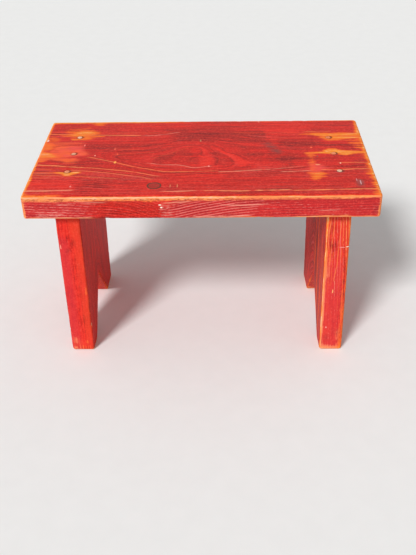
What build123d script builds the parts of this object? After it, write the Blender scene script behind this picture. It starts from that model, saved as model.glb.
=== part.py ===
"""Bucket bench: a plank seat nailed down onto two bootjack legs.

Millimetres, +Z up. The origin is on the floor under the middle of the seat. +X runs along the
seat to the right, and +Y from its front edge to its back edge.
"""

from build123d import *
import math
import os
from typing import NamedTuple

# Seat plank, grain along X
seat_height = 314
top_length = 550
top_width = 286
top_thickness = 39
top_corner_radius = 5  # the four corners in plan
seat_arris_radius = 4.5  # the edges round the sitting face, worn by use
under_arris_radius = 1.5  # the edges round the underside

# Slab legs, grain upright, each standing across the bench
leg_width = 235
leg_thickness = 39
leg_setback = 15  # from the seat's front edge back to the legs' front edges
leg_arris_radius = 3  # every edge but those of the end grain under the seat
left_overhang = 45  # from the seat's end to the outer face of the leg, under the seat
right_overhang = 41
left_foot_spread = 2  # how much further out the leg stands at the floor than under the seat
right_foot_spread = 6
left_leg_turn = 0.5  # degrees that the leg is turned in towards the middle at its back
right_leg_turn = 1.5

# Bootjack notch, a V sawn up from the floor between the two feet of a leg
front_foot_width = 35
back_foot_width = 50
notch_height = 94
notch_tip_radius = 3

# Common nails, driven down through the seat into the end grain of the legs
nail_length = 89
nail_diameter = 4.1
nail_head_diameter = 8.7
nail_head_thickness = 1.8
nail_head_bevel = 0.5  # the hammered-down rim of the head
nail_point_length = 6
nail_head_depth = 0.5  # how far the head lies below the sitting face
nail_inset = 12.5  # from the leg's outer face in to the line of nails
left_front_nail = 71  # from the leg's front edge back to its front nail
right_front_nail = 68
left_back_nail = 32  # from the leg's back edge to its back nail, with the middle nail halfway between
right_back_nail = 39
shank_clearance = 0.05  # all round the shank
head_clearance = 0.4  # all round the head, where the wood is crushed back from it
point_clearance = 0.5  # below the nail's point

leg_height = seat_height - top_thickness
notch_width = leg_width - front_foot_width - back_foot_width
nail_rows = ("front", "middle", "back")
up = Vector(0, 0, 1)


class Leg(NamedTuple):
    """Where one leg stands and how it is nailed. side is -1 for the left leg, 1 for the right."""

    side: int
    overhang: float
    foot_spread: float
    turn: float
    front_nail: float
    back_nail: float

    def outwards(self):
        """The way that the outer face looks."""
        angle = math.radians(self.turn)
        return Vector(self.side * math.cos(angle), math.sin(angle), 0)

    def backwards(self):
        """The way along the outer face from its front edge to its back edge."""
        angle = math.radians(self.turn)
        return Vector(-self.side * math.sin(angle), math.cos(angle), 0)

    def front_corner(self):
        """The outer front corner of the leg's top end, set down on the floor."""
        return Vector(self.side * (top_length / 2 - self.overhang), leg_setback - top_width / 2, 0)

    def rise(self):
        """The way up the leg's edges, from the floor to the seat."""
        return up * leg_height - self.outwards() * self.foot_spread

    def floor_corner(self):
        """The outer front corner of the leg's foot, where it spreads out on the floor."""
        return self.front_corner() + up * leg_height - self.rise()

    def nail_place(self, row, height):
        """A point on the axis of the nail in a row, counted from the front, at a height."""
        nailed_width = leg_width - self.front_nail - self.back_nail
        along = self.front_nail + nailed_width * row / (len(nail_rows) - 1)
        return self.front_corner() + self.backwards() * along - self.outwards() * nail_inset + up * height


legs = {
    "left": Leg(-1, left_overhang, left_foot_spread, left_leg_turn, left_front_nail, left_back_nail),
    "right": Leg(1, right_overhang, right_foot_spread, right_leg_turn, right_front_nail, right_back_nail),
}


def make_top():
    """The seat plank, with a counterbored hole for each nail."""
    with BuildPart() as top:
        with BuildSketch(Plane.XY.offset(leg_height)):
            RectangleRounded(top_length, top_width, top_corner_radius)
        extrude(amount=top_thickness)
        fillet(top.edges().group_by(Axis.Z)[-1], radius=seat_arris_radius)
        fillet(top.edges().group_by(Axis.Z)[0], radius=under_arris_radius)
        for leg in legs.values():
            with Locations(*[leg.nail_place(row, seat_height) for row in range(len(nail_rows))]):
                CounterBoreHole(
                    radius=nail_diameter / 2 + shank_clearance,
                    counter_bore_radius=nail_head_diameter / 2 + head_clearance,
                    counter_bore_depth=nail_head_depth + nail_head_thickness,
                )
    return top.part


def make_leg(leg):
    """A slab leg, leaning as its foot spreads, with its notch, eased edges and nail holes."""
    inwards = Align.MIN if leg.side > 0 else Align.MAX
    with BuildPart() as slab:
        with BuildSketch(Plane(leg.floor_corner(), x_dir=leg.backwards(), z_dir=up)):
            Rectangle(leg_width, leg_thickness, align=(Align.MIN, inwards))
        extrude(amount=leg.rise().length, dir=leg.rise())

        outer_face = Plane(leg.floor_corner(), x_dir=leg.backwards(), z_dir=leg.backwards().cross(up))
        with BuildSketch(outer_face) as notch:
            with BuildLine():
                Polyline(
                    (front_foot_width, 0),
                    (front_foot_width + notch_width / 2, notch_height),
                    (leg_width - back_foot_width, 0),
                    close=True,
                )
            make_face()
            fillet(notch.vertices().sort_by(Axis.Y)[-1], radius=notch_tip_radius)
        extrude(amount=leg_thickness + abs(leg.foot_spread), both=True, mode=Mode.SUBTRACT)
        under_seat = slab.edges().group_by(Axis.Z)[-1]
        fillet(slab.edges() - under_seat, radius=leg_arris_radius)

        with Locations(*[leg.nail_place(row, leg_height) for row in range(len(nail_rows))]):
            Hole(
                radius=nail_diameter / 2 + shank_clearance,
                depth=nail_head_depth + nail_length + point_clearance - top_thickness,
            )
    return slab.part


def make_nail(leg, row):
    """A common nail: a flat round head on a round shank that ends in a point."""
    head_middle = leg.nail_place(row, seat_height - nail_head_depth)
    rim = nail_head_diameter / 2
    shank = nail_diameter / 2
    with BuildPart() as nail:
        with BuildSketch(Plane(head_middle, x_dir=(1, 0, 0), z_dir=(0, -1, 0))):
            with BuildLine():
                Polyline(
                    (0, 0),
                    (rim - nail_head_bevel, 0),
                    (rim, -nail_head_bevel),
                    (rim, -nail_head_thickness),
                    (shank, -nail_head_thickness),
                    (shank, nail_point_length - nail_length),
                    (0, -nail_length),
                    close=True,
                )
            make_face()
        revolve(axis=Axis(head_middle, up))
    return nail.part


pieces = {"top_plank": make_top()}
for leg_name, leg in legs.items():
    pieces[f"{leg_name}_leg"] = make_leg(leg)
    for row, row_name in enumerate(nail_rows):
        pieces[f"nail_{leg_name}_{row_name}"] = make_nail(leg, row)

os.makedirs("parts", exist_ok=True)
for name, piece in pieces.items():
    piece.label = name
    export_step(piece, f"parts/{name}.step")
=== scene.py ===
"""Looks of the bucket bench: worn red boards and weathered nails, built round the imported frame.

Lengths are in millimetres until a mesh is made. "Along" is along a board's grain.
"""

import math
from typing import Callable, NamedTuple

import bpy
import numpy as np
from mathutils import Matrix, Vector


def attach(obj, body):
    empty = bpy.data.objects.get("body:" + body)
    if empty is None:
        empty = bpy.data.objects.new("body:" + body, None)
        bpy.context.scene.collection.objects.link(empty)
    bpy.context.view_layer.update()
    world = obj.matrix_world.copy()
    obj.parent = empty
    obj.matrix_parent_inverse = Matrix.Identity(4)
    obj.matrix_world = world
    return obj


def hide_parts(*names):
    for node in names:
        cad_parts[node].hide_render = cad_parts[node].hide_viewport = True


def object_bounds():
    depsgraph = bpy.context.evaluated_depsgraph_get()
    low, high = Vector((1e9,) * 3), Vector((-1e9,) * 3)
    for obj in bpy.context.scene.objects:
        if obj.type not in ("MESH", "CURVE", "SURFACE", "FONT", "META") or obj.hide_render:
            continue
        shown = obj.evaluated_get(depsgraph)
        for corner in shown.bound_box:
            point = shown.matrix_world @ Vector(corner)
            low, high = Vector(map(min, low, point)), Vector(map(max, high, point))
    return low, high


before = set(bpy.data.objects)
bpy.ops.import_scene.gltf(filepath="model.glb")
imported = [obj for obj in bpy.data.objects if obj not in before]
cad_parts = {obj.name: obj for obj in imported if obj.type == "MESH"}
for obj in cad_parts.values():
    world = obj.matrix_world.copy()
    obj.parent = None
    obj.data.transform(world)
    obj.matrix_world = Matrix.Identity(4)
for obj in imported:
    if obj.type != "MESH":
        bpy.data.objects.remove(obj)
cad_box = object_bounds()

MM = 0.001  # one millimetre in Blender's metres

# Seat plank
HALF_LENGTH, HALF_WIDTH, SEAT_Z = (round(limit / MM, 2) for limit in cad_box[1])
UNDER_Z = 275.0

# Legs, as the frame has them
LEG_WIDTH = 235.0
LEG_THICKNESS = 39.0
LEG_HEIGHT = UNDER_Z
LEG_SETBACK = 15.0
FRONT_FOOT = 35.0
BACK_FOOT = 50.0
NOTCH_HEIGHT = 94.0
NOTCH_TIP = (FRONT_FOOT + LEG_WIDTH - BACK_FOOT) / 2  # back from the leg's front edge

# Nails
NAIL_ROWS = ("front", "middle", "back")
NAIL_INSET = 12.5
NAIL_LENGTH = 89.0
HEAD_RADIUS = 4.3
HEAD_SINK = 0.5
SHANK_RADIUS = 2.05
HOLE_RADIUS = 4.75

rng = np.random.default_rng(26)
noise_table = np.random.default_rng(7).uniform(-1, 1, (32, 32, 32))


# ---------------------------------------------------------------- shapes in numpy


def smoothstep(low, high, value):
    part = np.clip((value - low) / (high - low), 0, 1)
    return part * part * (3 - 2 * part)


def noise(x, y, z):
    """Smooth noise from -1 to 1, with about one bump to each unit of x, y and z."""
    x, y, z = np.broadcast_arrays(x, y, z)
    cell = np.floor(np.stack([x, y, z])).astype(int)
    part = np.stack([x, y, z]) - cell
    part = part * part * (3 - 2 * part)
    total = 0
    for corner in range(8):
        bits = [corner >> axis & 1 for axis in range(3)]
        weight = 1
        for axis in range(3):
            weight = weight * (part[axis] if bits[axis] else 1 - part[axis])
        place = [(cell[axis] + bits[axis]) % noise_table.shape[axis] for axis in range(3)]
        total = total + weight * noise_table[place[0], place[1], place[2]]
    return total


def polygon_distance(x, y, outline):
    """Distance to a closed outline, negative inside it."""
    nearest = np.full(np.shape(x), np.inf)
    inside = np.zeros(np.shape(x), bool)
    for (ax, ay), (bx, by) in zip(outline, outline[1:] + outline[:1]):
        px, py, ex, ey = x - ax, y - ay, bx - ax, by - ay
        part = np.clip((px * ex + py * ey) / (ex * ex + ey * ey), 0, 1)
        nearest = np.minimum(nearest, np.hypot(px - part * ex, py - part * ey))
        if ay != by:
            inside ^= ((ay > y) != (by > y)) & (x < ax + (y - ay) * ex / ey)
    return np.where(inside, -nearest, nearest)


def inset(outline, amount):
    """The counter-clockwise outline with every side moved in."""
    moved = []
    for i, corner in enumerate(outline):
        before = np.subtract(corner, outline[i - 1])
        after = np.subtract(outline[(i + 1) % len(outline)], corner)
        n1 = np.array([-before[1], before[0]]) / np.hypot(*before)
        n2 = np.array([-after[1], after[0]]) / np.hypot(*after)
        moved.append(tuple(np.add(corner, amount * (n1 + n2) / (1 + n1 @ n2))))
    return moved


def rounded(distance_a, distance_b, radius):
    """Two distances joined with a rounded edge between them."""
    a, b = distance_a + radius, distance_b + radius
    return np.minimum(np.maximum(a, b), 0) + np.hypot(np.maximum(a, 0), np.maximum(b, 0)) - radius


def slope_of(distance, points):
    """Unit outward slope of a distance field, by small steps either way."""
    step = 0.02
    slope = np.empty_like(points)
    for axis in range(3):
        move = np.zeros(3)
        move[axis] = step
        slope[:, axis] = distance(points + move) - distance(points - move)
    return slope / np.maximum(np.linalg.norm(slope, axis=1, keepdims=True), 1e-9)


def settle(points, distance):
    """Moves points straight onto the surface where distance() is nothing."""
    for _ in range(4):
        points = points - distance(points)[:, None] * slope_of(distance, points)
    return points


def lines_between(low, high, step, fine_ends=(8.0, 8.0), fine_spots=(), fine_step=0.9):
    """Grid lines from low to high, close together at rounded ends and round the fine spots."""
    near = np.array([0, 0.35, 0.75, 1.2, 1.75, 2.4, 3.2, 4.1, 5.2, 6.5])
    places = [low + near[near < fine_ends[0]], high - near[near < fine_ends[1]]]
    edges = [low + fine_ends[0]]
    for middle, reach in fine_spots:
        edges += [middle - reach, middle + reach]
    edges.append(high - fine_ends[1])
    for i, (start, end) in enumerate(zip(edges, edges[1:])):
        gap = fine_step if i % 2 else step
        places.append(np.linspace(start, end, max(2, int(round((end - start) / gap)) + 1)))
    return np.unique(np.round(np.concatenate(places), 4))


def shell_of_grid(*lines):
    """Index triples of the outer points of a box grid with these lines, and its outward quads."""
    counts = [len(axis_lines) for axis_lines in lines]
    outer = np.zeros(counts, bool)
    for axis in range(3):
        ends = [slice(None)] * 3
        ends[axis] = [0, -1]
        outer[tuple(ends)] = True
    number = np.cumsum(outer.ravel()).reshape(counts) - 1
    quads = []
    for axis in range(3):
        for end in (0, -1):
            side = np.take(number, end, axis=axis)
            ring = [side[:-1, :-1], side[1:, :-1], side[1:, 1:], side[:-1, 1:]]
            if (end == 0) == (axis != 1):
                ring.reverse()
            quads += np.stack(ring, -1).reshape(-1, 4).tolist()
    return np.argwhere(outer), quads


def in_scene(name, data):
    thing = bpy.data.objects.new(name, data)
    bpy.context.scene.collection.objects.link(thing)
    return thing


def new_mesh(name, points, faces, material, fields):
    """A smooth mesh object from points in millimetres. A field has a value or vector for every point."""
    mesh = bpy.data.meshes.new(name)
    mesh.from_pydata((np.asarray(points) * MM).tolist(), [], faces)
    mesh.validate()
    for field, values in fields.items():
        kind, key = ("FLOAT_VECTOR", "vector") if np.ndim(values) == 2 else ("FLOAT", "value")
        layer = mesh.attributes.new(field, kind, "POINT")
        layer.data.foreach_set(key, np.ravel(values).astype(np.float32))
    mesh.polygons.foreach_set("use_smooth", [True] * len(mesh.polygons))
    mesh.materials.append(material)
    return in_scene(name, mesh)


def pairs(text):
    """Pairs of numbers: "-40,60 -38,66" gives [(-40, 60), (-38, 66)]."""
    return [tuple(map(float, pair.split(","))) for pair in text.split()]


def rows(text):
    """Rows of numbers and places: a line "0.5 8: -40,60 -38,66" gives (0.5, 8, [(-40, 60), (-38, 66)]).

    A line without a colon goes on with the places of the row before.
    """
    result = []
    for line in text.strip().splitlines():
        numbers, colon, places = line.rpartition(":")
        if colon:
            result.append((*map(float, numbers.split()), []))
        result[-1][-1].extend(pairs(places))
    return result


def nick_rows(text):
    """Rows of nicks, each a centre, radii and a colour, of three numbers each."""
    return np.array(text.split(), float).reshape(-1, 3, 3).tolist()


def painted(x, y, patches, squeeze=1.0):
    """Soft-edged patches, each (strength, softness, outline), the strongest where they overlap.

    An outline of two places is a box between them. A squeeze below one makes the edges softer along x
    than across it.
    """
    total = np.zeros(np.shape(x))
    for strength, soft, outline in patches:
        if len(outline) == 2:
            (left, low), (right, high) = outline
            outline = [(left, low), (right, low), (right, high), (left, high)]
        outline = [(squeeze * px, py) for px, py in outline]
        soft = soft * squeeze**0.5
        part = strength * smoothstep(soft, -soft, polygon_distance(squeeze * x, y, outline))
        total = np.where(np.abs(part) > np.abs(total), part, total)
    return total


def thin_lines(along, across, lines):
    """Thin lines of grain, each (strength, hue, places).

    Gives the signed distance to the nearest one, its strength and its hue.
    """
    reach, fade = 5.0, 9.0
    best = np.zeros(np.shape(along))
    distance = np.full(np.shape(along), reach)
    hue = np.zeros(np.shape(along))
    for strength, line_hue, places in lines:
        us, vs = np.array(places).T
        fine = np.arange(us[0] - 20, us[-1] + 20, 2.0)
        path = np.interp(fine, us, vs)
        blur = np.exp(-np.linspace(-2, 2, 9) ** 2)
        path = np.convolve(np.pad(path, 4, mode="edge"), blur / blur.sum(), mode="valid")
        gap = across - np.interp(along, fine, path)
        ends = smoothstep(us[0] - fade, us[0], along) * smoothstep(us[-1] + fade, us[-1], along)
        weight = strength * ends * smoothstep(reach, reach * 0.6, np.abs(gap))
        nearer = weight > best
        best = np.where(nearer, weight, best)
        distance = np.where(nearer, gap, distance)
        hue = np.where(nearer, line_hue, hue)
    return np.stack([distance, best, hue], -1)


def worn_edges(ragged, edges):
    """The wear of the most worn edge.

    Each edge is (strength, distances to the two faces that meet there, bare reach, worn reach), and a
    reach is its size and how far it follows the ragged field.
    """
    worn = 0
    for strength, one, other, (bare, bare_share), (reach, reach_share) in edges:
        away = np.hypot(one, other)
        part = strength * smoothstep(reach + reach_share * ragged, bare + bare_share * ragged, away)
        worn = np.maximum(worn, part)
    return worn


def dent(points, spot, size, deep):
    return deep * np.exp(-(((points - spot) / size) ** 2).sum(1))


# ---------------------------------------------------------------- materials


class Nodes:
    """The nodes of a material or world, made by short calls that give back output sockets."""

    def __init__(self, owner):
        owner.use_nodes = True
        self.owner = owner
        self.tree = owner.node_tree
        self.tree.nodes.clear()

    def add(self, kind, inputs=None, **settings):
        node = self.tree.nodes.new(kind)
        for key, value in settings.items():
            setattr(node, key, value)
        for key, value in (inputs or {}).items():
            if isinstance(value, bpy.types.NodeSocket):
                self.tree.links.new(value, node.inputs[key])
            else:
                node.inputs[key].default_value = value
        return node

    def field(self, name):
        return self.add("ShaderNodeAttribute", attribute_name=name).outputs

    def object_place(self):
        return self.add("ShaderNodeTexCoord").outputs["Object"]

    def split(self, vector):
        return self.add("ShaderNodeSeparateXYZ", {0: vector}).outputs

    def join(self, x, y, z):
        return self.add("ShaderNodeCombineXYZ", {0: x, 1: y, 2: z}).outputs[0]

    def maths(self, operation, *values, clamp=False):
        inputs = dict(enumerate(values))
        return self.add("ShaderNodeMath", inputs, operation=operation, use_clamp=clamp).outputs[0]

    def times(self, first, second, clamp=False):
        return self.maths("MULTIPLY", first, second, clamp=clamp)

    def scaled(self, value, factor, offset=0.0):
        return self.maths("MULTIPLY_ADD", value, factor, offset)

    def total(self, *values):
        result = values[0]
        for value in values[1:]:
            result = self.maths("ADD", result, value)
        return result

    def weighted(self, *parts, centred=False):
        """The sum of (value, weight) pairs. Centred, a noise of 0 to 1 swings by its weight about nothing."""
        return self.total(*[self.scaled(value, weight, -weight / 2 * centred) for value, weight in parts])

    def step(self, value, low, high, out_low=0.0, out_high=1.0):
        inputs = {"Value": value, "From Min": low, "From Max": high, "To Min": out_low, "To Max": out_high}
        return self.add("ShaderNodeMapRange", inputs, interpolation_type="SMOOTHSTEP").outputs[0]

    def noise(self, vector, scale=1.0, detail=2.0, roughness=0.5):
        inputs = {"Vector": vector, "Scale": scale, "Detail": detail, "Roughness": roughness}
        return self.add("ShaderNodeTexNoise", inputs, normalize=True).outputs["Fac"]

    def mix(self, amount, first, second):
        inputs = {0: amount}
        for key, colour in ((6, first), (7, second)):
            inputs[key] = colour if isinstance(colour, bpy.types.NodeSocket) else (*colour, 1.0)
        return self.add("ShaderNodeMix", inputs, data_type="RGBA").outputs[2]

    def ramp(self, value, stops):
        node = self.add("ShaderNodeValToRGB", {0: value})
        while len(node.color_ramp.elements) < len(stops):
            node.color_ramp.elements.new(0.5)
        for element, (place, colour) in zip(node.color_ramp.elements, stops):
            element.position = place
            element.color = (*colour, 1.0)
        return node.outputs[0]

    def spot(self, vector, centre, radii):
        """How far out a place is from a spot's centre, in the spot's own radii. Both are in millimetres."""
        for operation, amount in (("SUBTRACT", centre), ("DIVIDE", radii)):
            inputs = {0: vector, 1: [MM * part for part in amount]}
            vector = self.add("ShaderNodeVectorMath", inputs, operation=operation).outputs[0]
        return self.add("ShaderNodeVectorMath", {0: vector}, operation="LENGTH").outputs["Value"]

    def bump(self, strength, distance, height):
        """A normal that follows a height. The distance is in millimetres."""
        inputs = {"Strength": strength, "Distance": distance * MM, "Height": height}
        return self.add("ShaderNodeBump", inputs).outputs[0]

    def surface(self, inputs):
        """The finished material, with these inputs to its one shader."""
        shader = self.add("ShaderNodeBsdfPrincipled", inputs)
        self.add("ShaderNodeOutputMaterial", {0: shader.outputs[0]})
        return self.owner


def srgb(red, green, blue):
    """Linear colour from the 0 to 255 values that a screen shows."""
    parts = np.array([red, green, blue]) / 255
    return tuple(np.where(parts <= 0.04045, parts / 12.92, ((parts + 0.055) / 1.055) ** 2.4).tolist())


# Stain
BRIGHT_RED = srgb(230, 50, 38)
RED = srgb(206, 36, 30)
BROWN_RED = srgb(176, 38, 30)
DARK_RED = srgb(124, 20, 20)
ORANGE_RED = srgb(228, 56, 34)
CRIMSON = srgb(208, 52, 60)
SPECKLE = srgb(238, 108, 88)
PINK = srgb(232, 146, 134)
THIN_WARM = srgb(246, 98, 56)
THIN_PINK = srgb(240, 84, 74)

# Bare wood
SALMON = srgb(238, 82, 50)
ORANGE = srgb(238, 102, 46)
AMBER = srgb(240, 124, 48)
YELLOW = srgb(246, 156, 54)
PALE = srgb(246, 196, 158)
PEACH = srgb(234, 144, 116)

# Marks
COOL_CREST = srgb(230, 122, 114)
WARM_CREST = srgb(246, 172, 100)
WARM_LINE = srgb(244, 152, 92)
PINK_LINE = srgb(242, 166, 144)
FLECK = srgb(170, 62, 46)
GREY = srgb(112, 66, 62)
# dark crushed wood round the nails, and the painted shade on one side of each
CRUSHED_AND_SHADE = srgb(92, 40, 26)
KNOT_PALE = srgb(164, 50, 40)
KNOT_DARK = srgb(120, 42, 32)
KNOT_RIM = srgb(96, 54, 40)

WOOD_FIELDS = ("across", "worn", "tone", "warm", "scuff", "raised", "ridged", "blush", "crushed_and_shade", "flecked")


def with_lines(n, colour, streaky, fine, seed):
    """Single lines of grain rubbed pale: the colour with them on it, and where they lie."""
    marks = []
    for field in ("lines_a", "lines_b"):
        gap, strength, hue = n.split(n.field(field)["Vector"])
        breaks = streaky(0.06, hue, seed + 1.3)
        wobble = streaky(0.12, hue, seed + 5.0, detail=1.0)
        gap = n.maths("ABSOLUTE", n.total(gap, n.scaled(wobble, 1.0, -0.5)))
        width = n.total(n.scaled(breaks, 1.1, 0.3), n.scaled(fine, 0.9, -0.45))
        width = n.times(width, n.scaled(strength, 0.9, 0.5))
        mark = n.times(n.step(n.maths("DIVIDE", gap, width), 1.3, 0.4), strength)
        marks.append(n.times(mark, n.step(breaks, 0.3, 0.5, 0.45, 1.0), clamp=True))
        line_colour = n.ramp(hue, [(0.0, SALMON), (0.3, ORANGE), (0.6, WARM_LINE), (1.0, PINK_LINE)])
        colour = n.mix(marks[-1], colour, line_colour)
    return colour, n.maths("MAXIMUM", *marks)


def with_knots(n, colour, knots):
    """The colour with knots on it, each (centre, radius) in millimetres."""
    here = n.object_place()
    for centre, radius in knots:
        away = n.total(n.spot(here, centre, [radius] * 3), n.scaled(n.noise(here, 160.0), 0.16, -0.08))
        swirl = n.maths("FRACT", n.scaled(away, 3.2))
        knot_colour = n.mix(n.scaled(swirl, 0.6), KNOT_PALE, KNOT_DARK)
        colour = n.mix(n.scaled(n.step(away, 1.05, 0.9), 0.75), colour, knot_colour)
        colour = n.mix(n.times(n.step(away, 0.78, 0.93), n.step(away, 1.16, 1.03)), colour, KNOT_RIM)
    return colour


def with_nicks(n, colour, nicks):
    """The colour with nicks in it, each (centre, radii, colour from 0 to 255)."""
    here = n.object_place()
    for centre, radii, nick_colour in nicks:
        away = n.total(n.spot(here, centre, radii), n.scaled(n.noise(here, 900.0), 1.2, -0.6))
        colour = n.mix(n.step(away, 1.1, 0.7), colour, srgb(*nick_colour))
    return colour


def wood(name, knots, nicks, seed):
    """Thin red stain over softwood, rubbed through to the bare wood where the worn field is high.

    The fields are grain (along, growth ring, layer), two sets of thin lines and those of WOOD_FIELDS.
    On the seat's front edge the worn field also carries a painted highlight.
    """
    n = Nodes(bpy.data.materials.new(name))
    here = n.object_place()
    along, ring, layer = n.split(n.field("grain")["Vector"])
    field_values = [n.field(field)["Fac"] for field in WOOD_FIELDS]
    across, worn, tone, warm, scuff, raised, ridged, blush, crushed_and_shade, flecked = field_values

    def streaky(stretch, second, third, detail=2.0, roughness=0.5):
        """Noise that is drawn out along the grain."""
        return n.noise(n.join(n.scaled(along, stretch), second, third), detail=detail, roughness=roughness)

    def fibrous(stretch, size, detail=3.0, roughness=0.7):
        """The same, as deep as it is wide."""
        return streaky(stretch, n.scaled(across, size), n.scaled(layer, size), detail, roughness)

    waver = streaky(0.03, n.scaled(ring, 0.8), seed)
    ring_here = n.total(ring, n.scaled(waver, 0.5, -0.25))
    bands = streaky(0.005, n.scaled(ring, 0.55), seed + 3.1)
    clouds = streaky(0.014, n.scaled(across, 0.03), seed + 7.7, 4.0, 0.6)
    threads = streaky(0.009, n.scaled(ring_here, 1.3), seed + 9.4, 3.0, 0.7)
    streaks = streaky(0.02, n.scaled(ring_here, 2.3), n.scaled(layer, 0.05), 3.0, 0.65)
    flecks = streaky(0.2, n.scaled(across, 0.55), n.scaled(layer, 0.2), 2.0, 0.6)
    rows_of_pores = fibrous(0.007, 0.33, 3.0, 0.75)
    broad = fibrous(0.006, 0.19)
    fibres = fibrous(0.045, 0.8)
    fine = fibrous(0.10, 2.4, 2.0, 0.6)
    dashes = fibrous(0.17, 1.1, 2.0, 0.6)
    mottle = n.noise(here, 330.0, 3.0, 0.7)

    # A growth ring darkens slowly into its late wood, then breaks off
    phase = n.maths("FRACT", ring_here)
    late = n.times(n.maths("POWER", phase, 3.5), n.step(phase, 1.0, 0.92))
    ridge = n.times(n.step(phase, 0.0, 0.06), n.step(phase, 0.34, 0.12))

    variation = n.weighted(
        (bands, 0.5), (clouds, 0.55), (threads, 0.9), (rows_of_pores, 0.9), (broad, 0.7), (streaks, 0.9),
        (fibres, 1.1), (fine, 0.6), (mottle, 0.85), centred=True,
    )
    shade = n.total(variation, tone, 0.57, n.times(late, n.scaled(ridged, -0.3, -0.3)))
    colour = n.ramp(shade, [(0.0, DARK_RED), (0.3, BROWN_RED), (0.58, RED), (0.95, BRIGHT_RED)])
    colour = n.mix(n.step(warm, 0.0, 1.0, 0.0, 0.75), colour, ORANGE_RED)
    colour = n.mix(n.step(warm, 0.0, -1.0, 0.0, 0.6), colour, CRIMSON)
    colour = n.mix(n.step(mottle, 0.5, 0.75, 0.0, 0.28), colour, SPECKLE)

    # Ridges of grain that catch the cloth or the brush and show paler
    dry = n.weighted((fibres, 0.6), (dashes, 0.9), (ridge, 0.2), (raised, 0.3))
    dry = n.times(n.step(dry, 1.16, 1.48), n.step(raised, 0.0, 0.7))
    colour = n.mix(dry, colour, PINK)
    crest = n.times(n.step(phase, 0.0, 0.15), n.step(phase, 0.5, 0.2))
    crest = n.times(crest, n.step(n.total(threads, dashes, n.scaled(ridged, 0.25)), 0.98, 1.36))
    crest_colour = n.mix(n.step(warm, 0.1, 0.5), COOL_CREST, WARM_CREST)
    colour = n.mix(n.times(crest, ridged, clamp=True), colour, crest_colour)

    # Bare wood, from thin salmon stain to pale rubbed edges; on the seat's front edge the pale end is partly
    # a painted highlight
    roughen = n.weighted(
        (streaks, 0.6), (rows_of_pores, 1.3), (fibres, 0.8), (broad, 1.6), (dashes, 0.8), centred=True,
    )
    rub = n.total(worn, n.times(n.step(worn, 0.02, 0.3), n.total(roughen, n.scaled(ridge, 0.12))))
    bare = n.step(rub, 0.2, 0.6)
    bare_stops = [(0.2, SALMON), (0.42, ORANGE), (0.62, AMBER), (0.78, YELLOW), (0.93, PALE)]
    bare_colour = n.mix(n.step(warm, 0.0, -1.0, 0.0, 0.55), n.ramp(n.scaled(rub, 0.7), bare_stops), PEACH)
    colour = n.mix(bare, colour, bare_colour)
    colour = n.mix(n.times(flecked, n.step(flecks, 0.46, 0.62)), colour, FLECK)
    thin = n.times(blush, n.scaled(n.total(fibres, streaks, rows_of_pores), 1.3, -1.05), clamp=True)
    colour = n.mix(thin, colour, n.mix(n.step(clouds, 0.35, 0.65), THIN_WARM, THIN_PINK))

    colour, line = with_lines(n, colour, streaky, fine, seed)
    scuffed = n.step(n.total(streaks, n.scaled(fine, 0.3)), 0.5, 0.75)
    colour = n.mix(n.times(scuff, scuffed), colour, GREY)
    # crushed wood round the nails, darkest where the painted shade falls on one side of each
    colour = n.mix(n.times(crushed_and_shade, n.step(fibres, 0.2, 0.5, 0.6, 1.0)), colour, CRUSHED_AND_SHADE)
    colour = with_nicks(n, with_knots(n, colour, knots), nicks)

    height = n.weighted((fibres, 0.5), (fine, 0.35), (late, 0.35), (line, 0.3), (bare, -0.25), (scuff, -0.1))
    uneven = n.weighted((streaks, 0.16), (fine, 0.14), centred=True)
    gloss = n.total(0.53, uneven, n.scaled(bare, 0.18), n.scaled(dry, 0.1))
    normal = n.bump(0.55, 0.35, height)
    return n.surface({"Base Color": colour, "Roughness": gloss, "Normal": normal, "Specular IOR Level": 0.1})


def steel():
    """Weathered nail heads: dull steel under rust and under the bench's own thin stain."""
    n = Nodes(bpy.data.materials.new("nail_steel"))
    here = n.object_place()
    blotch = n.noise(here, 420.0, 4.0, 0.65)
    grit = n.noise(here, 2200.0, 3.0, 0.7)
    rim, stained = n.field("rim")["Fac"], n.field("stained")["Fac"]
    bright, orange = [
        n.ramp(blotch, [(0.3, srgb(*dark)), (0.48, srgb(*middle)), (0.62, srgb(*light))])
        for dark, middle, light in (
            ((170, 120, 94), (222, 178, 146), (240, 206, 176)),
            ((170, 84, 52), (226, 124, 76), (236, 142, 92)),
        )
    ]
    rust = n.step(n.total(n.scaled(grit, 0.35), rim), 0.72, 1.0)
    colour = n.mix(n.scaled(rust, 0.85), n.mix(stained, bright, orange), srgb(112, 48, 30))
    gloss = n.total(0.4, n.scaled(blotch, 0.2), n.scaled(rust, 0.3))
    metal = n.scaled(rust, -0.2, 0.25)
    normal = n.bump(0.5, 0.25, n.total(blotch, n.scaled(grit, 0.4)))
    return n.surface({"Base Color": colour, "Metallic": metal, "Roughness": gloss, "Normal": normal})


# ---------------------------------------------------------------- how the legs stand and look


def left_front(inward, height):
    """Tone, warmth, blush and ridges of the left leg's front edge, with painted shade along its inner side.
    """
    # the last term is painted shade on the rounded inner edge, which faces away from the light
    tone = 0.2 - 0.2 * smoothstep(16, 32, inward) - 0.22 * smoothstep(32, 38, inward)
    warm = 0.8 * smoothstep(10, 38, inward) - 1.05 * smoothstep(36, 4, inward)
    blush = 0.14 * smoothstep(14, 34, inward)
    return tone - 0.25 * smoothstep(18, 4, height), warm + 0.7 * smoothstep(215, 245, height), blush, -0.4


def right_front(inward, height):
    """Tone, warmth, blush and ridges of the right leg's front edge."""
    tone = 0.06 - 0.16 * smoothstep(15, 3, inward)
    warm = -1.0 + 1.1 * smoothstep(150, 235, height) + 0.9 * smoothstep(14, 2, inward)
    blush = 0.12 * (1 + 0.5 * noise(inward / 12, height / 40, 1.0))
    return tone, warm, blush, 0.15 + 0.6 * smoothstep(90, 225, height)


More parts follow.
